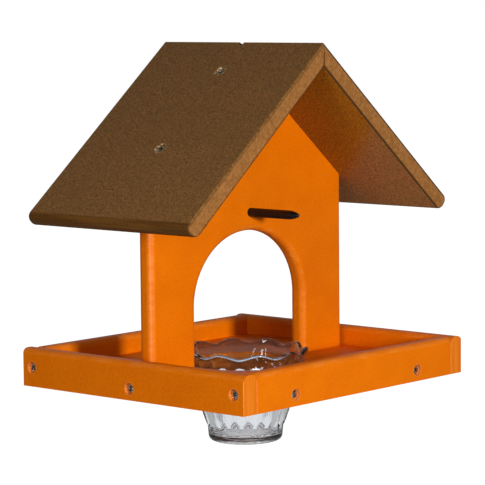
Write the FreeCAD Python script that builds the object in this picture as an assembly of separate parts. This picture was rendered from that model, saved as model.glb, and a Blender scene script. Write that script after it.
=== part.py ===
"""Hanging oriole feeder: a gabled upright under two roof boards, standing in a railed tray with a jelly cup.

Millimetres. +X is to the right, +Y to the rear and +Z up. The origin is the upright's peak, on the axis of
the hanging hole that is drilled down through the ridge.
"""
import FreeCAD, Part
import math
import os

V = FreeCAD.Vector
UP = V(0, 0, 1)
DOWN = V(0, 0, -1)

# Sheet that every board is cut from
sheet = 12.7

# Tray
tray_width = 236.0
tray_depth = 205.0
rail_height = 26.5
rail_edge_round = 4.76
rail_end_ease = 0.8

# Upright board
upright_width = 203.2
upright_edge_round = 4.76
arch_width = 113.4
arch_rise = 49.3
jamb_height = 43.5

# Roof boards
roof_slope = 180.8
roof_length = 148.0
roof_pitch = 39.5
ridge_height = 237.0
eave_top_round = 4.5
eave_foot_round = 7.4
gable_round = 1.3

# Hanging hole, drilled down through the ridge into the upright's peak
hang_hole_radius = 2.0
hang_hole_depth = 20.0

# Peg for the orange halves, with a bullet-shaped point at both ends
peg_diameter = 6.35
peg_reach = 44.4
peg_point = 8.6
peg_tip_radius = 1.4
peg_above_arch = 12.9
peg_fit = 0.02

# Jelly cup
cup_height = 64.7
cup_rim_radius = 43.8
cup_band_radius = 26.8
cup_base_radius = 26.2
cup_base_round = 4.0
cup_band_height = 10.7
cup_wall = 2.8
cup_floor_thickness = 6.5
cup_floor_round = 3.0
cup_scallops = 10
cup_scallop_depth = 1.2
cup_rim_wave = 1.6
cup_flute_depth = 0.9
cup_seat_height = 55.9
cup_seat_gap = 0.3
cup_hole_round = 2.0

# Countersunk screws
screw_head_radius = 4.0
screw_head_rim = 0.4
screw_shank_radius = 2.1
screw_length = 28.0
screw_point = 6.0
screw_sink = 1.5
roof_screw_sink = 0.6
screw_fit = 0.05
floor_screw_depth = 4.9
rail_end_screw_inset = 3.8
cross_screw_inset = 52.0
leg_screw_inset = 14.0
roof_screw_upper = 30.4
roof_screw_lower = 33.1

# Heights and angles that follow from the sizes above
pitch = math.radians(roof_pitch)
ridge_z = sheet / math.cos(pitch)
tray_z = ridge_z - ridge_height
floor_top_z = tray_z + sheet
spring_z = floor_top_z + jamb_height
crown_z = spring_z + arch_rise
peg_z = crown_z + peg_above_arch
cup_z = floor_top_z - cup_seat_height
cup_lip_height = cup_height - cup_wall / 2

# Two places nearer than this are the same
hair = 0.01


def line(start, end):
    return Part.LineSegment(start, end).toShape()


def arc(start, middle, end):
    return Part.Arc(start, middle, end).toShape()


def face_of(edges):
    return Part.Face(Part.Wire(edges))


def steps(turn, count):
    """Angles from 0 to turn, in count equal steps."""
    return [turn * index / count for index in range(count + 1)]


def round_corner(corner, before, after, radius):
    """Start, middle and end of the arc that rounds a square corner between two directions."""
    centre = corner + before * radius + after * radius
    outward = (before + after).normalize()
    return corner + before * radius, centre - outward * radius, corner + after * radius


def round_topped_bar(start, end, height, radius, length):
    """Bar whose upright section runs from start to end along its foot, with both top corners rounded."""
    along = (end - start).normalize()
    first = round_corner(start + UP * height, DOWN, along, radius)
    last = round_corner(end + UP * height, along * -1, DOWN, radius)
    section = face_of([
        line(start, first[0]),
        arc(*first),
        line(first[2], last[0]),
        arc(*last),
        line(last[2], end),
        line(end, start),
    ])
    return section.extrude(length)


def revolve(edges):
    return face_of(edges).revolve(V(0, 0, 0), UP, 360)


def hang_hole():
    return Part.makeCylinder(hang_hole_radius, hang_hole_depth + ridge_z, V(0, 0, -hang_hole_depth))


# Screws

def screw_solid(fit, head_room):
    """Countersunk screw with its head's face at the origin, pointing down; fit swells it into its hole."""
    head = screw_head_radius + fit
    shank = screw_shank_radius + fit
    neck_z = -screw_head_rim - (screw_head_radius - screw_shank_radius)
    points = [
        V(0, 0, head_room),
        V(head, 0, head_room),
        V(head, 0, -screw_head_rim),
        V(shank, 0, neck_z),
        V(shank, 0, screw_point - screw_length),
        V(0, 0, -screw_length - fit),
    ]
    return revolve([line(a, b) for a, b in zip(points, points[1:] + points[:1])])


def driven(shape, spot, way):
    """A screw or its hole, entering the board's face at spot and going in along way."""
    placed = shape.copy()
    placed.Placement = FreeCAD.Placement(spot + way * screw_sink, FreeCAD.Rotation(DOWN, way))
    return placed


def drilled(board, spots):
    """The board with a countersunk hole for each (spot, way) pair."""
    hole = screw_solid(screw_fit, sheet)
    return board.cut([driven(hole, spot, way) for spot, way in spots])


def screw_group(spots):
    screw = screw_solid(0, 0)
    return Part.makeCompound([driven(screw, spot, way) for spot, way in spots])


def side_screw_spots(side):
    """Two screws into the ends of the cross rails and one into the floor's edge."""
    face = side * tray_width / 2
    end = tray_depth / 2 - sheet + rail_end_screw_inset
    middle_z = tray_z + rail_height / 2
    places = [(-end, middle_z), (0, floor_top_z - floor_screw_depth), (end, middle_z)]
    return [(V(face, y, z), V(-side, 0, 0)) for y, z in places]


def cross_screw_spots(side):
    """Two screws through a cross rail into the floor's edge."""
    reach = tray_width / 2 - cross_screw_inset
    face = side * tray_depth / 2
    return [(V(x, face, floor_top_z - floor_screw_depth), V(0, -side, 0)) for x in (-reach, reach)]


def roof_screw_spots(side):
    """Two screws through a roof board into the upright's sloping edge, square to the slope and less sunk."""
    shoulder = upright_width / 2 / math.cos(pitch) + sheet * math.tan(pitch)
    inwards = V(-side * math.sin(pitch), 0, -math.cos(pitch))
    lift = inwards * (roof_screw_sink - screw_sink)
    return [(V(side * run * math.cos(pitch), 0, ridge_z - run * math.sin(pitch)) + lift, inwards)
            for run in (roof_screw_upper, shoulder - roof_screw_lower)]


def leg_screw_spots():
    """One screw up through the floor into each leg of the upright."""
    reach = arch_width / 2 + leg_screw_inset
    return [(V(x, 0, tray_z), UP) for x in (-reach, reach)]


# Tray boards

def eased_block(near, width, depth):
    """Block as high as a rail, on a rectangle whose four corners are eased."""
    right = V(1, 0, 0)
    back = V(0, 1, 0)
    far = near + right * width + back * depth
    corners = [
        round_corner(near, back, right, rail_end_ease),
        round_corner(near + right * width, right * -1, back, rail_end_ease),
        round_corner(far, back * -1, right * -1, rail_end_ease),
        round_corner(near + back * depth, right, back * -1, rail_end_ease),
    ]
    edges = []
    for corner, following in zip(corners, corners[1:] + corners[:1]):
        edges += [arc(*corner), line(corner[2], following[0])]
    return face_of(edges).extrude(UP * rail_height)


def side_rail(side):
    """Long rail with its top edges rounded over and its square ends eased."""
    left = side * tray_width / 2 - (sheet if side > 0 else 0)
    near = V(left, -tray_depth / 2, tray_z)
    bar = round_topped_bar(near, near + V(sheet, 0, 0), rail_height, rail_edge_round, V(0, tray_depth, 0))
    rail = bar.common(eased_block(near, sheet, tray_depth))
    return drilled(rail, side_screw_spots(side))


def cross_rail(side):
    """Short rail that fits between the side rails, flush with their ends, with its own ends eased."""
    length = tray_width - 2 * sheet
    near = V(-length / 2, side * tray_depth / 2 - (sheet if side > 0 else 0), tray_z)
    bar = round_topped_bar(near, near + V(0, sheet, 0), rail_height, rail_edge_round, V(length, 0, 0))
    rail = bar.common(eased_block(near, length, sheet))
    return drilled(rail, cross_screw_spots(side) + side_screw_spots(-1) + side_screw_spots(1))


def tray_floor():
    """Board inside the rails, with the round hole that the jelly cup hangs in."""
    width = tray_width - 2 * sheet
    depth = tray_depth - 2 * sheet
    board = Part.makeBox(width, depth, sheet, V(-width / 2, -depth / 2, tray_z))
    board = board.cut(Part.makeCylinder(cup_hole_radius(), sheet, V(0, 0, tray_z)))
    mouth = [edge for edge in board.Edges if edge.isClosed() and edge.BoundBox.ZMin > floor_top_z - hair]
    board = board.makeFillet(cup_hole_round, mouth)
    spots = leg_screw_spots()
    for side in (-1, 1):
        spots += side_screw_spots(side) + cross_screw_spots(side)
    return drilled(board, spots)


# Upright board

def arch_edges(jamb, front):
    """Two quarters of the elliptical arch, from the right jamb over the crown to the left jamb."""
    centre = V(0, front, spring_z)
    right = V(jamb, front, spring_z)
    crown = V(0, front, crown_z)
    left = V(-jamb, front, spring_z)
    wide = jamb > arch_rise
    ellipse = Part.Ellipse(right if wide else crown, crown if wide else left, centre)
    turns = [ellipse.parameter(point) for point in (right, crown, left)]
    if not wide:
        turns[0] -= 2 * math.pi
    return [Part.ArcOfEllipse(ellipse, a, b).toShape() for a, b in zip(turns, turns[1:])]


def upright_panel():
    """House-shaped board with an arched opening, standing on the floor across the tray."""
    half = upright_width / 2
    jamb = arch_width / 2
    front = -sheet / 2
    shoulder_z = -half * math.tan(pitch)
    corners = [(-jamb, spring_z), (-jamb, floor_top_z), (-half, floor_top_z), (-half, shoulder_z), (0, 0),
               (half, shoulder_z), (half, floor_top_z), (jamb, floor_top_z), (jamb, spring_z)]
    chain = [V(x, front, z) for x, z in corners]
    straight = [line(a, b) for a, b in zip(chain, chain[1:])]
    board = face_of(straight + arch_edges(jamb, front)).extrude(V(0, sheet, 0))

    def rounded_over(edge):
        """Edges of the two outer sides and of the arch, on the front and rear faces."""
        box = edge.BoundBox
        rises = box.YLength < hair and box.ZLength > hair
        outer_side = abs(abs(box.Center.x) - half) < hair
        arch_side = max(box.XMax, -box.XMin) < jamb + hair and box.ZMax < crown_z + hair
        return rises and (outer_side or arch_side)

    board = board.makeFillet(upright_edge_round, [edge for edge in board.Edges if rounded_over(edge)])
    peg_hole = Part.makeCylinder(peg_diameter / 2 + peg_fit, sheet, V(0, front, peg_z), V(0, 1, 0))
    board = board.cut([peg_hole, hang_hole()])
    return drilled(board, leg_screw_spots() + roof_screw_spots(-1) + roof_screw_spots(1))


# Roof boards

def roof_panel(side):
    """Sloping board, mitred upright at the ridge, with a round-nosed eave and eased gable ends."""
    down_slope = V(side * math.cos(pitch), 0, -math.sin(pitch))
    inwards = V(-side * math.sin(pitch), 0, -math.cos(pitch))
    ridge = V(0, -roof_length / 2, ridge_z)
    inner_ridge = ridge + DOWN * ridge_z
    eave_top = ridge + down_slope * roof_slope
    eave_foot = eave_top + inwards * sheet
    top = round_corner(eave_top, down_slope * -1, inwards, eave_top_round)
    foot = round_corner(eave_foot, inwards * -1, down_slope * -1, eave_foot_round)
    profile = face_of([
        line(ridge, top[0]),
        arc(*top),
        line(top[2], foot[0]),
        arc(*foot),
        line(foot[2], inner_ridge),
        line(inner_ridge, ridge),
    ])
    board = profile.extrude(V(0, roof_length, 0))

    def on_gable(edge):
        """Edges of the two gable ends, apart from the mitre's own."""
        return edge.BoundBox.YLength < hair and edge.BoundBox.XLength > hair

    board = board.makeFillet(gable_round, [edge for edge in board.Edges if on_gable(edge)])
    return drilled(board.cut(hang_hole()), roof_screw_spots(side))


# Peg

def orange_peg():
    """Rod through the upright, drawn in at each end by a long arc to a round tip."""
    radius = peg_diameter / 2
    drop = radius - peg_tip_radius
    sweep_radius = (drop ** 2 + peg_point ** 2) / (2 * drop)
    sweep = math.asin(peg_point / sweep_radius)
    tip = peg_tip_radius / math.cos(sweep)
    half = sheet / 2 + peg_reach
    arc_end = half - tip + tip * math.sin(sweep)
    shoulder = arc_end - peg_point
    swept = V(radius - sweep_radius * (1 - math.cos(sweep / 2)), 0, shoulder + sweep_radius * math.sin(sweep / 2))
    halfway = (math.pi / 2 + sweep) / 2
    domed = V(tip * math.cos(halfway), 0, half - tip + tip * math.sin(halfway))

    def point(end):
        """Edges of the point at one end of the rod, from its side to its tip."""
        side, middle, neck, dome, nose = [V(p.x, 0, end * p.z) for p in (
            V(radius, 0, shoulder), swept, V(peg_tip_radius, 0, arc_end), domed, V(0, 0, half))]
        return [arc(side, middle, neck), arc(neck, dome, nose)]

    barrel = line(V(radius, 0, -shoulder), V(radius, 0, shoulder))
    axis = line(V(0, 0, half), V(0, 0, -half))
    rod = revolve([barrel] + point(1) + [axis] + point(-1)[::-1])
    rod.Placement = FreeCAD.Placement(V(0, 0, peg_z), FreeCAD.Rotation(V(1, 0, 0), 90))
    return rod


# Jelly cup

def cup_flare(height):
    """How far up the flared wall a height lies, from 0 at the base band to 1 at the lip."""
    return max(0.0, (height - cup_band_height) / (cup_lip_height - cup_band_height))


def cup_outer_radius(height):
    """Mean outer radius of the flared wall at a height above the cup's base."""
    return cup_band_radius + cup_flare(height) * (cup_rim_radius - cup_band_radius)


def cup_flutes(height):
    """Depth of the flutes at a height: none at the band and the lip, and the most low on the wall."""
    return cup_flute_depth * math.sin(math.pi * math.sqrt(cup_flare(height)))


def cup_hole_radius():
    """Hole whose rounded edge stands the seat gap off the cup's widest flutes at the seat height.

    A scallop's crest reaches further out, but its wall is lifted by the wave, which draws it in again.
    """
    spread = (cup_rim_radius - cup_band_radius) / (cup_lip_height - cup_band_height)
    slope = math.atan(spread)
    crest = abs(cup_scallop_depth - cup_rim_wave * spread) * cup_flare(cup_seat_height) ** 2
    widest = cup_outer_radius(cup_seat_height) + crest + cup_flutes(cup_seat_height)
    stand_off = (cup_seat_gap + cup_hole_round * (1 - math.sin(slope))) / math.cos(slope)
    return widest + stand_off - cup_hole_round


def cup_ring(radius, height, scallop=0.0, flute=0.0, wave=0.0):
    """Closed ring round the cup's axis, one edge to a scallop.

    The scallops swell where the rim is high, and the flutes are twice as many.
    """
    points_per_scallop = 8
    turns = steps(2 * math.pi, points_per_scallop * cup_scallops)
    points = []
    for turn in turns[:-1]:
        swell = -math.cos(cup_scallops * turn)
        reach = radius + scallop * swell + flute * math.cos(2 * cup_scallops * turn)
        points.append(V(reach * math.cos(turn), reach * math.sin(turn), cup_z + height + wave * swell))
    curve = Part.BSplineCurve()
    curve.interpolate(Points=points, PeriodicFlag=True, Parameters=turns)
    seams = steps(2 * math.pi, cup_scallops)
    return Part.Wire([curve.toShape(a, b) for a, b in zip(seams, seams[1:])])


def cup_wall_ring(share, foot, inset, fluted):
    """Ring of the flared wall, a share of the way from foot to lip; its scallops and wave grow to the lip."""
    height = foot + (cup_lip_height - foot) * share
    growth = cup_flare(height) ** 2
    flute = cup_flutes(height) if fluted else 0
    return cup_ring(cup_outer_radius(height) - inset, height, cup_scallop_depth * growth, flute,
                    cup_rim_wave * growth)


def jelly_cup():
    """Pressed dish: round base band, flared and fluted wall, wavy scalloped rim and rounded lip."""
    lip = cup_wall / 2
    quarter = math.pi / 2
    inner_foot = cup_floor_thickness + cup_floor_round
    inner_radius = cup_outer_radius(inner_foot) - cup_wall
    base_corner = [cup_ring(cup_base_radius - cup_base_round * (1 - math.sin(turn)),
                            cup_base_round * (1 - math.cos(turn))) for turn in steps(quarter, 4)]
    band = [base_corner[-1], cup_ring(cup_band_radius, cup_band_height)]
    outside = [band[-1]]
    outside += [cup_wall_ring(share, cup_band_height, 0, True) for share in (0.04, 0.12, 0.25, 0.45, 0.7, 0.88)]
    over_lip = [cup_ring(cup_rim_radius - lip * (1 - math.cos(turn)), cup_lip_height + lip * math.sin(turn),
                         cup_scallop_depth, 0, cup_rim_wave) for turn in steps(2 * quarter, 4)]
    outside.append(over_lip[0])
    inside = [over_lip[-1]]
    inside += [cup_wall_ring(share, inner_foot, cup_wall, False) for share in (0.65, 0.3)]
    inner_corner = [cup_ring(inner_radius - cup_floor_round * (1 - math.cos(turn)),
                             inner_foot - cup_floor_round * math.sin(turn)) for turn in steps(quarter, 3)]
    inside.append(inner_corner[0])
    bands = [base_corner, band, outside, over_lip, inside, inner_corner]
    walls = [Part.makeLoft(rings, False) for rings in bands]
    caps = [Part.Face(base_corner[0]), Part.Face(inner_corner[-1])]
    skin = Part.makeCompound(walls + caps)
    skin.sewShape(hair)
    cup = Part.Solid(skin.Shells[0])
    if cup.Volume < 0:
        cup.reverse()
    return cup


pieces = {
    "tray_floor": tray_floor(),
    "upright_panel": upright_panel(),
    "orange_peg": orange_peg(),
    "jelly_cup": jelly_cup(),
    "leg_screws": screw_group(leg_screw_spots()),
}
for name, side in (("left", -1), ("right", 1)):
    pieces["side_rail_" + name] = side_rail(side)
    pieces["side_rail_screws_" + name] = screw_group(side_screw_spots(side))
    pieces["roof_panel_" + name] = roof_panel(side)
    pieces["roof_screws_" + name] = screw_group(roof_screw_spots(side))
for name, side in (("front", -1), ("rear", 1)):
    pieces[name + "_rail"] = cross_rail(side)
    pieces[name + "_rail_screws"] = screw_group(cross_screw_spots(side))

os.makedirs("parts", exist_ok=True)
for name, shape in pieces.items():
    shape.exportStep("parts/" + name + ".step")
    state = "valid" if shape.isValid() else "INVALID"
    print(name, len(shape.Solids), "solids", round(shape.Volume, 1), "mm3", state)
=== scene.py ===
"""Looks of the hanging oriole feeder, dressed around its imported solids.

Metres, in the part's own frame: +X to the right, +Y to the rear, +Z up, origin at the upright's peak.
"""
import bpy
import math
from mathutils import Matrix, Vector


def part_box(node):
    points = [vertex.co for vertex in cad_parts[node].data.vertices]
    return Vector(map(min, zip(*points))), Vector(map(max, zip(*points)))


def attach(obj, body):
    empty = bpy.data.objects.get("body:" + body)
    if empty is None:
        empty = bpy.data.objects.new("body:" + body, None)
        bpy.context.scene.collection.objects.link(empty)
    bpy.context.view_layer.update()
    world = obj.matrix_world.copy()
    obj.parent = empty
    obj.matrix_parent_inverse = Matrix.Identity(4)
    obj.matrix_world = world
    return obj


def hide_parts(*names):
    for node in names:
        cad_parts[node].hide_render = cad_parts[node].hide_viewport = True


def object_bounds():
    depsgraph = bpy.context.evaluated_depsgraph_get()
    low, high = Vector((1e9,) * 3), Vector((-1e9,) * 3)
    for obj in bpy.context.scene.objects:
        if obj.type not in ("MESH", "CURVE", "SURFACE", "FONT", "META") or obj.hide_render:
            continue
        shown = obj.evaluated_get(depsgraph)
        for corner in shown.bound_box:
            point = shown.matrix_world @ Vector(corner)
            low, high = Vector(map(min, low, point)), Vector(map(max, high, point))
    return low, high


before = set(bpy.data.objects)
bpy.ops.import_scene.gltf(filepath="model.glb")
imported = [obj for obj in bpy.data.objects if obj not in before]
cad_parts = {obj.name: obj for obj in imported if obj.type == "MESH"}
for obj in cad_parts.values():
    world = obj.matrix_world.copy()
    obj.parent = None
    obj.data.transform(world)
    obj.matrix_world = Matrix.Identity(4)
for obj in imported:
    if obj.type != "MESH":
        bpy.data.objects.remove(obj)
cad_box = [list(corner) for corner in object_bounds()]
ridge_height = cad_box[1][2]

MM = 0.001


def rgb(red, green, blue):
    return (red, green, blue, 1)


# Camera of the photograph
camera_place = Vector((-1.248864, -1.097940, 0.045176))
camera_azimuth = math.radians(-48.6468)
camera_tilt = math.radians(5.8025)
camera_roll = math.radians(-0.5240)
camera_lens = 176.483
camera_sensor = 36.0
camera_reach = 100.0

# Studio
floor_drop = 0.60
floor_side = 24.0
floor_grey = rgb(0.45, 0.45, 0.45)
floor_white = 0.97
floor_mirrored = 0.1
backdrop = Vector((0.751, 0.660, 0.0)).normalized()
white = rgb(1, 1, 1)
lamp_target = Vector((0, 0, -0.12))
key_lamp = dict(azimuth=-17.5, elevation=7, distance=1.8, width=0.2, height=0.2, watts=24.4)
fill_lamp = dict(azimuth=-74, elevation=6, distance=0.85, width=0.15, height=0.5, watts=2.25)

# Jelly cup
cup_band_radius = 26.8 * MM
cup_base_radius = 26.2 * MM
cup_base_round = 4.0 * MM
cup_band_height = 10.7 * MM
cup_rim_radius = 43.8 * MM
cup_height = 64.7 * MM
cup_wall = 2.8 * MM
cup_floor_thickness = 6.5 * MM
cup_floor_round = 3.0 * MM
cup_foot_radius = 19.0 * MM
cup_foot_recess = 1.2 * MM
cup_scallops = 10
cup_scallop_depth = 1.2 * MM
cup_rim_wave = 1.6 * MM
cup_flute_depth = 0.9 * MM
cup_fold_depth = 0.8 * MM
cup_sides = 240
cup_corner_steps = 8
cup_band_steps = 3
cup_outer_steps = 36
cup_lip_steps = 12
cup_inner_steps = 30
cup_foot_ring = 0.5
cup_floor_rings = (0.6, 0.25)

# Glass
glass_ior = 1.52
glass_clear = rgb(0.93, 0.95, 0.975)
# Blue-grey rim: painted shade for the dark surroundings its lip refracts
glass_rim_shade = rgb(0.58, 0.63, 0.72)
glass_rim_start = 5.0 * MM
glass_rim_full = 2.5 * MM
glass_foot_start = 3.0 * MM
glass_foot_full = MM
glass_floor_fade = MM
glass_floor_full = 0.3 * MM
glass_haze = 0.15

# Side rails and upright
rail_inside = 105.3 * MM
rail_inside_fade = 0.1 * MM
rail_end = 102.5 * MM
rail_end_fade = 0.5 * MM
# Painted highlight on rounded edges out at the sides, from these distances off the middle
side_highlight_start = 95.0 * MM
side_highlight_full = 98.0 * MM
bruise_inner = 4.3 * MM
bruise_outer = 5.2 * MM
bruise_share = 0.25

# Orange plastic lumber, from dark to pale
orange_skin = (rgb(0.77, 0.156, 0.0), rgb(0.88, 0.20, 0.0))
# Routed edges: cutter ripples, lightened as a painted highlight
orange_edge_and_highlight = (rgb(0.90, 0.22, 0.01), rgb(0.95, 0.31, 0.05))
orange_cut = (rgb(0.75, 0.175, 0.001), rgb(0.87, 0.225, 0.018))
# Painted highlight on rounded edges out at the sides, such as the upright's
orange_side_highlight = rgb(0.95, 0.33, 0.13)
orange_bruised = rgb(0.80, 0.36, 0.13)

# Roof boards, with depths below the top and distances down the slope
roof_pitch = math.radians(39.5)
roof_slope = 180.8 * MM
board = 12.7 * MM
eave_start = 5.0 * MM
eave_full = 3.5 * MM
# Share of painted shade on the eave's down-facing nose
nose_shade_share = 0.85
# Distances where the painted bluish sheen on the underside takes over from the painted orange bounce light
sheen_start = 140.0 * MM
sheen_full = 165.0 * MM
chip_inner = 4.2 * MM
chip_outer = 5.6 * MM
mitre_top = 4.0 * MM
mitre_foot = 9.0 * MM
mitre_narrow = 0.6 * MM
mitre_wide = 1.2 * MM
rim_share = 0.7
# Depths of the dark lines at the gable ends' edges: painted shade of the down-facing inner rounding, and at
# the outer edge the dark top skin with painted shade on its rounding
inner_shade_depths = (board - 1.9 * MM, board - 0.9 * MM)
outer_rim = (2.2 * MM, 1.2 * MM)
# Depths of a painted shade line at the top edge of the right gable ends, where the rounding turns away from
# the lamps
skin_shade_depths = (1.9 * MM, 1.1 * MM)
# Depths of painted shade on the down-facing rounding along the foot of the gable ends
eased_shade_depths = (board - 1.6 * MM, board - 0.8 * MM)
right_side = (-2 * MM, 2 * MM)

# Brown plastic lumber, from dark to pale
brown_skin = (rgb(0.105, 0.043, 0.009), rgb(0.35, 0.165, 0.044))
brown_tint = rgb(0.25, 0.094, 0.026)
brown_cloud = rgb(0.185, 0.098, 0.021)
# Eave nose: painted shade on its down-facing rounding, with drawn streaks
brown_nose_shade = (rgb(0.08, 0.028, 0.003), rgb(0.15, 0.058, 0.008))
brown_chip = rgb(0.62, 0.50, 0.33)
brown_cut = (rgb(0.26, 0.10, 0.02), rgb(0.40, 0.175, 0.052))
brown_mitre = rgb(0.08, 0.03, 0.005)
# Dark lines at the gable ends' edges: painted shade, with the dark top skin at the outer edge
brown_rim_skin_and_shade = rgb(0.11, 0.05, 0.016)
# Painted shade line at the top edge of the right gable ends
brown_skin_rim_shade = rgb(0.045, 0.021, 0.009)
# Painted shade on the down-facing rounding along the foot of the gable ends
brown_eased_shade = rgb(0.07, 0.03, 0.008)
# Gains on the underside, which is paler plastic: painted orange bounce light near the upright, and a painted
# bluish sheen toward its outer corners
underside_light_gain = (rgb(1.45, 1.28, 0.35), rgb(1.42, 1.53, 1.75))

# Peg and screws, in colour
peg_black = (rgb(0.002, 0.002, 0.003), rgb(0.007, 0.007, 0.007))
# Steel from bright to dark: the dark end is part tarnish and dust, part painted shade for the dark
# surroundings the sunk heads reflect
steel_clean_and_shade = (rgb(0.92, 0.91, 0.86), rgb(0.24, 0.20, 0.15))
steel_dust_and_shade = (rgb(0.72, 0.60, 0.42), rgb(0.11, 0.08, 0.05))

# Countersunk screws
screw_head_radius = 4.0 * MM
screw_rim = 0.4 * MM
screw_shank_radius = 2.1 * MM
screw_length = 28.0 * MM
screw_point = 6.0 * MM
screw_tip_share = 0.15
screw_sides = 40
screw_crease = math.radians(30)
recess_width = 1.6 * MM
recess_reach = 2.6 * MM
recess_depth = 2.0 * MM
recess_taper = 0.45
screw_turn = math.radians(37)
screw_outward = {
    "roof_screws_left": Vector((-math.sin(roof_pitch), 0, math.cos(roof_pitch))),
    "roof_screws_right": Vector((math.sin(roof_pitch), 0, math.cos(roof_pitch))),
    "side_rail_screws_left": Vector((-1, 0, 0)),
    "side_rail_screws_right": Vector((1, 0, 0)),
    "front_rail_screws": Vector((0, -1, 0)),
    "rear_rail_screws": Vector((0, 1, 0)),
    "leg_screws": Vector((0, 0, -1)),
}

# Radius and drop of the rings of a screw's domed head
screw_dome = [
    (1.3 * MM, 0.0),
    (2.2 * MM, 0.06 * MM),
    (2.8 * MM, 0.20 * MM),
    (3.2 * MM, 0.42 * MM),
    (3.5 * MM, 0.62 * MM),
    (3.6 * MM, 0.80 * MM),
]


# Node helpers

def node(tree, kind, inputs=None, **settings):
    """A new shader node with its settings made and its inputs set, or linked where they are sockets."""
    made = tree.nodes.new("ShaderNode" + kind)
    for name, value in settings.items():
        setattr(made, name, value)
    for name, value in (inputs or {}).items():
        if isinstance(value, bpy.types.NodeSocket):
            tree.links.new(value, made.inputs[name])
        else:
            made.inputs[name].default_value = value
    return made


def maths(tree, operation, first, second=0.0, third=0.0):
    return node(tree, "Math", {0: first, 1: second, 2: third}, operation=operation).outputs[0]


def product(tree, first, *others):
    """All the factors multiplied, in their order."""
    for other in others:
        first = maths(tree, "MULTIPLY", first, other)
    return first


def magnitude(tree, value):
    return maths(tree, "ABSOLUTE", value)


def weighted(tree, first, first_share, second, second_share):
    """Sum of two values, each by its share."""
    return maths(tree, "ADD", product(tree, first, first_share), product(tree, second, second_share))


def parts(tree, vector):
    """X, Y and Z of a vector."""
    return node(tree, "SeparateXYZ", {"Vector": vector}).outputs


def aligned(tree, vector, direction):
    """How far a unit vector points along a direction."""
    return node(tree, "VectorMath", {0: vector, 1: direction}, operation="DOT_PRODUCT").outputs["Value"]


def mixed(tree, factor, first, second, blend="MIX"):
    """Colour mix of two colours or colour sockets."""
    inputs = {0: factor, 6: first, 7: second}
    return node(tree, "Mix", inputs, data_type="RGBA", blend_type=blend).outputs[2]


def chosen(tree, factor, first, second):
    """Plain mix of two values."""
    return node(tree, "Mix", {0: factor, 2: first, 3: second}).outputs[0]


def spread(tree, value, low, high, to_low=0.0, to_high=1.0):
    """Value moved from one range to another, eased and held at its ends."""
    inputs = {"Value": value, "From Min": low, "From Max": high, "To Min": to_low, "To Max": to_high}
    return node(tree, "MapRange", inputs, interpolation_type="SMOOTHSTEP").outputs["Result"]


def noise(tree, place, scale=1.0, detail=3.0, roughness=0.55):
    inputs = {"Vector": place, "Scale": scale, "Detail": detail, "Roughness": roughness}
    return node(tree, "TexNoise", inputs).outputs["Fac"]


def stretched(tree, place, scale):
    """Coordinates stretched or squeezed along each axis."""
    return node(tree, "Mapping", {"Vector": place, "Scale": scale}).outputs["Vector"]


def bump(tree, height, distance, strength=1.0, under=None):
    inputs = {"Height": height, "Distance": distance, "Strength": strength}
    if under is not None:
        inputs["Normal"] = under
    return node(tree, "Bump", inputs).outputs["Normal"]


def blank_material(name):
    """Material with a lone Principled shader: gives the material, its tree and the shader."""
    material = bpy.data.materials.new(name)
    material.use_nodes = True
    tree = material.node_tree
    shader = tree.nodes["Principled BSDF"]
    return material, tree, shader


def surface(tree, shader, colour, roughness, normal):
    """Links what varies over a surface to its shader."""
    tree.links.new(colour, shader.inputs["Base Color"])
    tree.links.new(roughness, shader.inputs["Roughness"])
    tree.links.new(normal, shader.inputs["Normal"])


def object_place(tree):
    return node(tree, "TexCoord").outputs["Object"]


def facing(tree):
    """Absolute parts of the surface's own direction, along X, Y and Z."""
    normal = node(tree, "NewGeometry").outputs["Normal"]
    return [magnitude(tree, part) for part in parts(tree, normal)]


# Screw holes

def head_centres(name):
    """Middles of the screw heads in a node, found from the points that lie furthest outward."""
    outward = screw_outward[name]
    points = [vertex.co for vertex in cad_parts[name].data.vertices]
    reach = max(point.dot(outward) for point in points)
    heads = []
    for point in points:
        if reach - point.dot(outward) > screw_rim / 4:
            continue
        near = [head for head in heads if (head[0] - point).length < 3 * screw_head_radius]
        if near:
            near[0].append(point)
        else:
            heads.append([point])
    return [sum(head, Vector()) / len(head) for head in heads]


def round_screws(tree, place, word, inner, outer):
    """Rings close round the screw heads of nodes named with a word, strongest at their inner edge."""
    rings = 0.0
    for name in screw_outward:
        if word not in name:
            continue
        for centre in head_centres(name):
            away = node(tree, "VectorMath", {0: place, 1: centre}, operation="DISTANCE").outputs["Value"]
            rings = maths(tree, "MAXIMUM", rings, spread(tree, away, outer, inner))
    return rings


# Finishes

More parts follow.
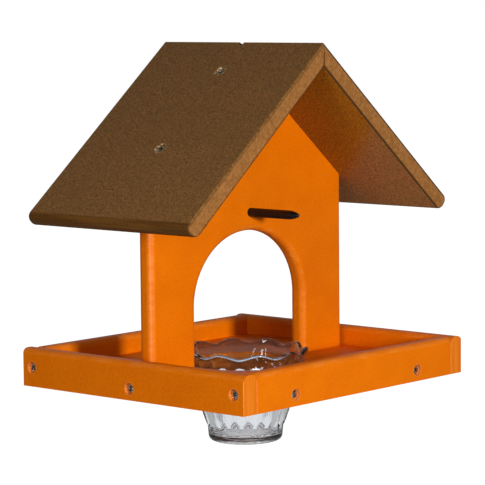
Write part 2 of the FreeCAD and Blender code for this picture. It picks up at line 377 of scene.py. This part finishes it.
def orange_board():
    """Orange plastic lumber: satin skin with faint mottling, routed edges with cutter ripples and a painted
    highlight, a painted highlight on rounded edges out at the sides such as the upright's, paler sawn rail
    ends, and faint bruises round the screws."""
    material, tree, shader = blank_material("orange_plastic_lumber")
    place = object_place(tree)
    x, y, _ = parts(tree, place)
    across, along = magnitude(tree, x), magnitude(tree, y)
    along_x, along_y, along_z = facing(tree)

    flatness = maths(tree, "MAXIMUM", maths(tree, "MAXIMUM", along_x, along_y), along_z)
    routed = spread(tree, flatness, 0.995, 0.90)
    at_side = spread(tree, across, rail_inside - rail_inside_fade, rail_inside + rail_inside_fade)
    at_end = spread(tree, along, rail_end - 2 * rail_end_fade, rail_end - rail_end_fade)
    sawn = product(tree, at_side, at_end, spread(tree, along_y, 0.6, 0.95))
    on_side = spread(tree, across, side_highlight_start, side_highlight_full)
    standing = product(tree, spread(tree, along_y, 0.45, 0.62), spread(tree, along_x, 0.6, 0.75))

    cloudy = noise(tree, place, scale=40.0)
    grainy = noise(tree, place, scale=800.0, detail=4.0, roughness=0.65)
    streak = noise(tree, stretched(tree, place, (900.0, 900.0, 25.0)))
    ripple = noise(tree, stretched(tree, place, (60.0, 60.0, 260.0)), detail=2.0)
    speck = weighted(tree, cloudy, 0.3, grainy, 0.7)

    skin = mixed(tree, spread(tree, speck, 0.35, 0.65), *orange_skin)
    edge = mixed(tree, ripple, *orange_edge_and_highlight)
    cut = mixed(tree, spread(tree, streak, 0.35, 0.65), *orange_cut)
    # Rounded edges lightened as a painted highlight, broken up by the cutter ripples
    edge_and_highlight = product(tree, routed, spread(tree, ripple, 0.4, 0.65, 0.1, 0.45))
    # Painted highlight on rounded edges out at the sides that face between front and side
    side_highlight = product(tree, on_side, standing, spread(tree, ripple, 0.3, 0.6, 0.35, 0.55))
    bruised = product(tree, round_screws(tree, place, "rail", bruise_inner, bruise_outer), bruise_share)
    colour = mixed(tree, edge_and_highlight, skin, edge)
    colour = mixed(tree, side_highlight, colour, orange_side_highlight)
    colour = mixed(tree, sawn, colour, cut)
    colour = mixed(tree, bruised, colour, orange_bruised)

    roughness = spread(tree, grainy, 0.3, 0.7, 0.38, 0.5)
    peel = bump(tree, noise(tree, place, scale=1400.0, detail=2.0), distance=0.00004, strength=0.6)
    rippled = bump(tree, product(tree, ripple, routed), distance=0.0004, strength=0.5, under=peel)
    normal = bump(tree, product(tree, streak, sawn), distance=0.0001, strength=0.6, under=rippled)
    surface(tree, shader, colour, roughness, normal)
    shader.inputs["Specular IOR Level"].default_value = 0.1
    return material


def roof_board():
    """Brown plastic lumber: dark speckled skin with chips round the screws and a darker nose at the eave,
    painted shade with drawn streaks; an underside of paler plastic tinted with painted orange bounce light
    and a painted bluish sheen; and paler mottled gable ends with saw marks, edges darkened by painted shade
    and the dark top skin, and a dark mitre line."""
    material, tree, shader = blank_material("brown_plastic_lumber")
    place = object_place(tree)
    x, y, z = parts(tree, place)
    across = magnitude(tree, x)
    along_y = facing(tree)[1]
    upward = parts(tree, node(tree, "NewGeometry").outputs["Normal"])["Z"]

    # Distance down the slope from the ridge, and depth below the top
    rise, level = math.sin(roof_pitch), math.cos(roof_pitch)
    outward = maths(tree, "MULTIPLY", across, level)
    downward = maths(tree, "MULTIPLY_ADD", z, -rise, ridge_height * rise)
    slope = maths(tree, "ADD", outward, downward)
    under_top = maths(tree, "MULTIPLY_ADD", z, -level, ridge_height * level)
    depth = maths(tree, "MULTIPLY_ADD", across, -rise, under_top)

    sawn = spread(tree, along_y, 0.95, 0.99)
    eave = spread(tree, slope, roof_slope - eave_start, roof_slope - eave_full)
    underside = product(tree, spread(tree, upward, -0.2, -0.6), maths(tree, "SUBTRACT", 1.0, eave))
    # Toward the underside's outer corners the painted bluish sheen takes over from the painted orange bounce
    # light
    outlying = maths(tree, "ADD", slope, magnitude(tree, y))
    sheen_side = spread(tree, outlying, sheen_start, sheen_full)

    fleck = noise(tree, place, scale=700.0, detail=4.0, roughness=0.75)
    tint = noise(tree, place, scale=190.0)
    cloud = noise(tree, place, scale=38.0)
    drawn = noise(tree, stretched(tree, place, (420.0, 12.0, 420.0)))
    flaked = spread(tree, noise(tree, place, scale=620.0, detail=2.0), 0.5, 0.62)
    chips = product(tree, round_screws(tree, place, "roof", chip_inner, chip_outer), flaked)
    # Eave nose darkened as painted shade, streaked along the board
    nose = mixed(tree, spread(tree, drawn, 0.35, 0.65), *brown_nose_shade)
    skin = mixed(tree, spread(tree, fleck, 0.36, 0.64), *brown_skin)
    skin = mixed(tree, spread(tree, tint, 0.35, 0.65, 0.0, 0.4), skin, brown_tint)
    skin = mixed(tree, spread(tree, cloud, 0.3, 0.7, 0.0, 0.25), skin, brown_cloud)
    skin = mixed(tree, underside, skin, mixed(tree, sheen_side, *underside_light_gain), "MULTIPLY")
    skin = mixed(tree, product(tree, eave, nose_shade_share), skin, nose)
    skin = mixed(tree, chips, skin, brown_chip)

    saw = noise(tree, stretched(tree, place, (500.0, 30.0, 60.0)))
    mottle = noise(tree, place, scale=480.0, detail=4.0, roughness=0.7)
    marked = weighted(tree, saw, 0.2, mottle, 0.8)
    joint_width = spread(tree, depth, mitre_top, mitre_foot, mitre_narrow, mitre_wide)
    mitre = spread(tree, maths(tree, "DIVIDE", across, joint_width), 1.0, 0.35, 0.0, 0.85)
    # Dark lines at the gable ends' edges: painted shade inside, dark skin and painted shade outside
    shaded_inner_edge = spread(tree, depth, *inner_shade_depths, 0.0, rim_share)
    outer_edge = spread(tree, depth, *outer_rim, 0.0, rim_share)
    cut = mixed(tree, spread(tree, marked, 0.36, 0.64), *brown_cut)
    cut = mixed(tree, mitre, cut, brown_mitre)
    cut = mixed(tree, maths(tree, "MAXIMUM", shaded_inner_edge, outer_edge), cut, brown_rim_skin_and_shade)

    # Painted shade line along the top edge of the gable ends on the right
    on_gable = product(tree, spread(tree, along_y, 0.3, 0.6), spread(tree, x, *right_side))
    shaded_skin_edge = product(tree, spread(tree, depth, *skin_shade_depths), on_gable)
    # Painted shade on the down-facing rounding along the foot of the gable ends
    eased = product(tree, spread(tree, along_y, 0.15, 0.5), spread(tree, depth, *eased_shade_depths))
    colour = mixed(tree, sawn, skin, cut)
    colour = mixed(tree, shaded_skin_edge, colour, brown_skin_rim_shade)
    colour = mixed(tree, eased, colour, brown_eased_shade)

    roughness = spread(tree, fleck, 0.3, 0.7, 0.42, 0.58)
    grain = bump(tree, fleck, distance=0.00008, strength=0.7)
    normal = bump(tree, product(tree, marked, sawn), distance=0.0002, strength=0.6, under=grain)
    surface(tree, shader, colour, roughness, normal)
    shader.inputs["Specular IOR Level"].default_value = 0.12
    return material


def black_peg():
    """Black satin plastic with faint drawn lines along the rod."""
    material, tree, shader = blank_material("black_satin_plastic")
    place = object_place(tree)
    drawn = noise(tree, stretched(tree, place, (1500.0, 40.0, 1500.0)))
    dust = noise(tree, place, scale=500.0)
    colour = mixed(tree, spread(tree, dust, 0.4, 0.75), *peg_black)
    roughness = spread(tree, drawn, 0.3, 0.7, 0.32, 0.5)
    surface(tree, shader, colour, roughness, bump(tree, drawn, distance=0.00005, strength=0.5))
    shader.inputs["Specular IOR Level"].default_value = 0.35
    return material


def clear_glass():
    """Clear pressed glass with the mould's ripple, a rim tinted dark as painted shade, and a stippled, hazy
    foot and floor.
    """
    material, tree, shader = blank_material("clear_pressed_glass")
    place = object_place(tree)
    height = parts(tree, place)["Z"]
    base_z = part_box("jelly_cup")[0].z
    floor_z = base_z + cup_floor_thickness
    rim_z = base_z + cup_height

    foot = spread(tree, height, base_z + glass_foot_start, base_z + glass_foot_full)
    off_floor = magnitude(tree, maths(tree, "SUBTRACT", height, floor_z))
    floor = spread(tree, off_floor, glass_floor_fade, glass_floor_full)
    stippled = maths(tree, "MAXIMUM", foot, floor)
    # Rim tinted dark: painted shade for the dark surroundings its lip refracts
    rim = spread(tree, height, rim_z - glass_rim_start, rim_z - glass_rim_full)
    colour = mixed(tree, rim, glass_clear, glass_rim_shade)

    ripple = noise(tree, stretched(tree, place, (1.0, 1.0, 0.5)), scale=180.0, detail=0.0)
    smear = noise(tree, place, scale=60.0, detail=4.0)
    stipple = product(tree, noise(tree, place, scale=420.0, detail=2.0), stippled)
    clear = spread(tree, smear, 0.45, 0.8, 0.0, 0.04)
    roughness = maths(tree, "MULTIPLY_ADD", stippled, glass_haze, clear)
    rippled = bump(tree, ripple, distance=0.0008, strength=0.3)
    normal = bump(tree, stipple, distance=0.0012, strength=0.7, under=rippled)
    surface(tree, shader, colour, roughness, normal)
    shader.inputs["Transmission Weight"].default_value = 1.0
    shader.inputs["IOR"].default_value = glass_ior
    return material


def screw_steel(name, bright, dull):
    """Stainless steel with fine turning marks, and darker patches that are part tarnish and dust, part
    painted shade.
    """
    material, tree, shader = blank_material(name)
    place = object_place(tree)
    tarnish = noise(tree, place, scale=900.0, detail=4.0)
    turned = noise(tree, place, scale=2200.0, detail=2.0)
    colour = mixed(tree, spread(tree, tarnish, 0.4, 0.62), bright, dull)
    roughness = spread(tree, tarnish, 0.3, 0.7, 0.16, 0.34)
    surface(tree, shader, colour, roughness, bump(tree, turned, distance=0.0001, strength=0.8))
    shader.inputs["Metallic"].default_value = 1.0
    return material


def studio_floor():
    """Pale floor that looks white and takes a soft shadow; glass sees it brighten towards the backdrop."""
    material, tree, shader = blank_material("pale_floor")
    path = node(tree, "LightPath").outputs
    shader.inputs["Base Color"].default_value = floor_grey
    shader.inputs["Roughness"].default_value = 0.9
    from_feeder = node(tree, "VectorMath", {0: object_place(tree), 1: (0, 0, -floor_drop)}).outputs["Vector"]
    ray = node(tree, "VectorMath", {0: from_feeder}, operation="NORMALIZE").outputs["Vector"]
    refracted = spread(tree, aligned(tree, ray, backdrop), 0.66, 0.97, 0.24, 0.70)
    strength = maths(tree, "MULTIPLY", path["Is Camera Ray"], floor_white)
    strength = maths(tree, "MULTIPLY_ADD", path["Is Transmission Ray"], refracted, strength)
    strength = maths(tree, "MULTIPLY_ADD", path["Is Glossy Ray"], floor_mirrored, strength)
    glow = node(tree, "Emission", {"Color": white, "Strength": strength})
    lit = node(tree, "AddShader", {0: shader.outputs[0], 1: glow.outputs[0]})
    tree.links.new(lit.outputs[0], tree.nodes["Material Output"].inputs["Surface"])
    return material


# Modelling helpers

def alone(piece):
    """Makes a piece the only selected and the active one."""
    bpy.ops.object.select_all(action="DESELECT")
    piece.select_set(True)
    bpy.context.view_layer.objects.active = piece


def start_circle(name, sides, radius, height):
    """A filled circle to build a turned piece from, in edit mode with its rim selected."""
    bpy.ops.object.select_all(action="DESELECT")
    bpy.ops.mesh.primitive_circle_add(vertices=sides, radius=radius, fill_type="TRIFAN",
                                      location=(0, 0, height), enter_editmode=True)
    piece = bpy.context.object
    piece.name = name
    piece.data.name = name
    bpy.ops.mesh.region_to_loop()
    return piece


def apply_place(piece):
    """Object mode, with the place in the mesh and the object at the origin."""
    bpy.ops.object.mode_set(mode="OBJECT")
    piece.data.transform(piece.matrix_world)
    piece.matrix_world = Matrix.Identity(4)


def turned_piece(name, profile, sides):
    """Closed body drawn up ring by ring through (radius, height) points; both ends close on the axis."""
    radius, height = profile[0]
    piece = start_circle(name, sides, radius, height)
    for next_radius, next_height in profile[1:]:
        bpy.ops.mesh.extrude_edges_move(TRANSFORM_OT_translate={"value": (0, 0, next_height - height)})
        scale = next_radius / radius
        bpy.ops.transform.resize(value=(scale, scale, 1), center_override=(0, 0, next_height))
        radius, height = next_radius, next_height
    bpy.ops.mesh.extrude_edges_move(TRANSFORM_OT_translate={"value": (0, 0, 0)})
    bpy.ops.mesh.merge(type="CENTER")
    bpy.ops.mesh.select_all(action="SELECT")
    bpy.ops.mesh.normals_make_consistent(inside=False)
    apply_place(piece)
    return piece


def dressed(piece, material, body, slot, *nodes):
    """Gives a new piece its finish, its body and the nodes that it stands for."""
    piece.data.materials.clear()
    piece.data.materials.append(material)
    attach(piece, body)
    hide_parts(*nodes)


# Jelly cup

def bend(centre_radius, centre_height, radius, start, end, count):
    """Points of a round corner in the cup's section, between two angles from the outward direction."""
    turns = [start + (end - start) * index / count for index in range(count + 1)]
    return [(centre_radius + radius * math.cos(t), centre_height + radius * math.sin(t)) for t in turns]


def run(first, last, count):
    """Points between two points of the section, without its ends."""
    shares = [index / count for index in range(1, count)]
    return [(first[0] + (last[0] - first[0]) * s, first[1] + (last[1] - first[1]) * s) for s in shares]


def cup_section():
    """Section from the middle of the base, up the outside, over the lip and in to the floor's middle."""
    quarter = math.pi / 2
    lip = cup_wall / 2
    lip_height = cup_height - lip
    foot = [(cup_foot_radius * cup_foot_ring, cup_foot_recess), (cup_foot_radius, cup_foot_recess)]
    foot.append((cup_foot_radius + cup_foot_recess, 0.0))
    corner_radius = cup_base_radius - cup_base_round
    corner = bend(corner_radius, cup_base_round, cup_base_round, -quarter, 0, cup_corner_steps)
    band_top = (cup_band_radius, cup_band_height)
    over_lip = bend(cup_rim_radius - lip, lip_height, lip, 0, 2 * quarter, cup_lip_steps)
    inner_low = cup_floor_thickness + cup_floor_round
    inner_radius = cup_band_radius - cup_wall - cup_floor_round
    inner = bend(inner_radius, inner_low, cup_floor_round, 0, -quarter, cup_corner_steps)
    floor_radius = inner[-1][0]
    section = foot + corner + run(corner[-1], band_top, cup_band_steps) + [band_top]
    section += run(band_top, over_lip[0], cup_outer_steps) + over_lip
    section += run(over_lip[-1], inner[0], cup_inner_steps) + inner
    return section + [(floor_radius * share, cup_floor_thickness) for share in cup_floor_rings]


def cup_flare(height):
    """How far up the flared wall a height lies, from 0 at the base band to 1 at the lip."""
    lip_height = cup_height - cup_wall / 2
    return min(1.0, max(0.0, (height - cup_band_height) / (lip_height - cup_band_height)))


def press_scallops(piece):
    """Moves the round wall into scallops that grow towards the rim, and flutes on the outside."""
    middle_wall = cup_wall / 2
    for vertex in piece.data.vertices:
        place = vertex.co
        radius = math.hypot(place.x, place.y)
        flare = cup_flare(place.z)
        if flare == 0 or radius == 0:
            continue
        turn = math.atan2(place.y, place.x)
        swell = -math.cos(cup_scallops * turn)
        wall_radius = cup_band_radius + flare * (cup_rim_radius - cup_band_radius) - middle_wall
        outside = 1.0 if radius > wall_radius else 0.0
        petal = abs(math.cos(cup_scallops * turn))
        flute = cup_flute_depth * math.sin(math.pi * math.sqrt(flare)) * (2 * petal - 1)
        fold = cup_fold_depth * flare * (1 - flare ** 6) * (1 - petal)
        reach = radius + cup_scallop_depth * flare ** 2 * swell + (flute - fold) * outside
        vertex.co = (reach * math.cos(turn), reach * math.sin(turn),
                     place.z + cup_rim_wave * flare ** 2 * swell)


def jelly_cup(material):
    cup = turned_piece("jelly_cup_glass", cup_section(), cup_sides)
    press_scallops(cup)
    cup.data.transform(Matrix.Translation((0, 0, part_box("jelly_cup")[0].z)))
    alone(cup)
    bpy.ops.object.shade_smooth()
    dressed(cup, material, "cup", "cup_glass", "jelly_cup")


# Screws

def pick_faces(piece, wanted):
    """Selects, in edit mode, just the faces that a test picks."""
    bpy.ops.mesh.select_mode(type="FACE")
    bpy.ops.mesh.select_all(action="DESELECT")
    bpy.ops.object.mode_set(mode="OBJECT")
    for face in piece.data.polygons:
        face.select = wanted(face)
    bpy.ops.object.mode_set(mode="EDIT")


def recess_cutter():
    """Tapered cross that cuts the driver recess into a screw head."""
    bpy.ops.object.select_all(action="DESELECT")
    bpy.ops.mesh.primitive_cube_add(size=1, location=(0, 0, 0), enter_editmode=True)
    cutter = bpy.context.object
    bpy.ops.transform.resize(value=(recess_width, recess_width, 2 * recess_depth))
    pick_faces(cutter, lambda face: abs(face.normal.z) < 0.5)
    arm = recess_reach - recess_width / 2
    bpy.ops.mesh.extrude_faces_move(TRANSFORM_OT_shrink_fatten={"value": arm})
    pick_faces(cutter, lambda face: face.normal.z < -0.5)
    bpy.ops.transform.resize(value=(recess_taper, recess_taper, 1), center_override=(0, 0, -recess_depth))
    apply_place(cutter)
    return cutter


def cross_head_screw():
    """One screw with its head's face at the origin, pointing down, and a cross recess cut into it."""
    cone_foot = screw_rim + screw_head_radius - screw_shank_radius
    profile = [(radius, -drop) for radius, drop in screw_dome]
    profile.append((screw_shank_radius, -cone_foot))
    profile.append((screw_shank_radius, screw_point - screw_length))
    profile.append((screw_shank_radius * screw_tip_share, -screw_length))
    screw = turned_piece("cross_head_screw", profile, screw_sides)
    cutter = recess_cutter()
    alone(screw)
    cut = screw.modifiers.new("recess", "BOOLEAN")
    cut.operation = "DIFFERENCE"
    cut.object = cutter
    bpy.ops.object.modifier_apply(modifier=cut.name)
    bpy.data.objects.remove(cutter)
    bpy.ops.object.shade_smooth_by_angle(angle=screw_crease)
    return screw


def screw_group(model, name, material):
    """Copies of the screw at each place of a node, turned at random-looking angles, as one piece."""
    upright_turn = screw_outward[name].to_track_quat("Z", "Y").to_matrix().to_4x4()
    copies = []
    for index, centre in enumerate(head_centres(name)):
        turn = Matrix.Rotation(screw_turn * (index + len(name)), 4, "Z")
        copy = bpy.data.objects.new(f"cross_head_{name}", model.data.copy())
        copy.data.transform(Matrix.Translation(centre) @ upright_turn @ turn)
        bpy.context.scene.collection.objects.link(copy)
        copies.append(copy)
    alone(copies[0])
    for copy in copies:
        copy.select_set(True)
    bpy.ops.object.join()
    dressed(copies[0], material, "feeder", "screw", name)


def screws():
    """Each node's screws; those in the roof are darker still, with dust and painted shade."""
    model = cross_head_screw()
    steel = screw_steel("stainless_steel", *steel_clean_and_shade)
    dusty = screw_steel("dusty_shaded_steel", *steel_dust_and_shade)
    for name in screw_outward:
        screw_group(model, name, dusty if "roof" in name else steel)
    bpy.data.objects.remove(model)


# Studio

def photo_camera():
    """Camera at the photograph's place, turn, tilt and roll."""
    tilt, azimuth, roll = camera_tilt, camera_azimuth, camera_roll
    flat = math.cos(tilt)
    ahead = Vector((-math.sin(azimuth) * flat, math.cos(azimuth) * flat, -math.sin(tilt)))
    level = Vector((math.cos(azimuth), math.sin(azimuth), 0))
    above = level.cross(ahead)
    right = math.cos(roll) * level + math.sin(roll) * above
    up = -math.sin(roll) * level + math.cos(roll) * above
    turn = Matrix((right, up, -ahead)).transposed().to_4x4()
    lens = bpy.data.cameras.new("photo_camera")
    lens.lens = camera_lens
    lens.sensor_width = camera_sensor
    lens.clip_end = camera_reach
    camera = bpy.data.objects.new("photo_camera", lens)
    camera.matrix_world = Matrix.Translation(camera_place) @ turn
    bpy.context.scene.collection.objects.link(camera)
    bpy.context.scene.camera = camera


def softbox(name, azimuth, elevation, distance, width, height, watts):
    """Area lamp that looks at the middle of the feeder from an azimuth, measured as the camera's is."""
    turn, rise = math.radians(azimuth), math.radians(elevation)
    away = Vector((math.sin(turn) * math.cos(rise), -math.cos(turn) * math.cos(rise), math.sin(rise)))
    lamp = bpy.data.lights.new(name, "AREA")
    lamp.shape = "RECTANGLE"
    lamp.size = width
    lamp.size_y = height
    lamp.energy = watts
    piece = bpy.data.objects.new(name, lamp)
    aim = away.to_track_quat("Z", "Y").to_matrix().to_4x4()
    piece.matrix_world = Matrix.Translation(lamp_target + away * distance) @ aim
    bpy.context.scene.collection.objects.link(piece)


def studio_world():
    """White to the eye; as light, and in gloss and glass, it is weak and strongest from the backdrop."""
    world = bpy.data.worlds.new("studio")
    bpy.context.scene.world = world
    world.use_nodes = True
    tree = world.node_tree
    direction = node(tree, "TexCoord").outputs["Generated"]
    height = parts(tree, direction)["Z"]
    lean = aligned(tree, direction, backdrop)
    overhead = spread(tree, height, 0.0, 0.9, 0.06, 0.10)
    ambient = maths(tree, "ADD", overhead, spread(tree, lean, 0.35, 0.85, 0.0, 0.42))
    mirrored = spread(tree, lean, 0.3, 0.9, 0.14, 0.45)
    refracted = spread(tree, lean, 0.70, 0.98, 0.10, 0.92)
    path = node(tree, "LightPath").outputs
    strength = chosen(tree, path["Is Glossy Ray"], ambient, mirrored)
    strength = chosen(tree, path["Is Transmission Ray"], strength, refracted)
    strength = chosen(tree, path["Is Camera Ray"], strength, 1.0)
    background = tree.nodes["Background"]
    background.inputs["Color"].default_value = white
    tree.links.new(strength, background.inputs["Strength"])


def studio():
    """Floor, world and lamps."""
    bpy.ops.object.select_all(action="DESELECT")
    floor_z = cad_box[0][2] - floor_drop
    bpy.ops.mesh.primitive_plane_add(size=floor_side, location=(0, 0, floor_z))
    floor = bpy.context.object
    floor.name = "studio_floor"
    floor.data.materials.append(studio_floor())
    studio_world()
    softbox("key_softbox", **key_lamp)
    softbox("fill_softbox", **fill_lamp)
    bpy.context.scene.view_settings.view_transform = "Standard"


def finish_nodes(material, *names):
    for name in names:
        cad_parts[name].material_slots[0].material = material


orange = orange_board()
brown = roof_board()
finish_nodes(orange, "upright_panel", "tray_floor", "front_rail", "rear_rail")
finish_nodes(orange, "side_rail_left", "side_rail_right")
finish_nodes(brown, "roof_panel_left", "roof_panel_right")
finish_nodes(black_peg(), "orange_peg")
screws()
jelly_cup(clear_glass())
photo_camera()
studio()
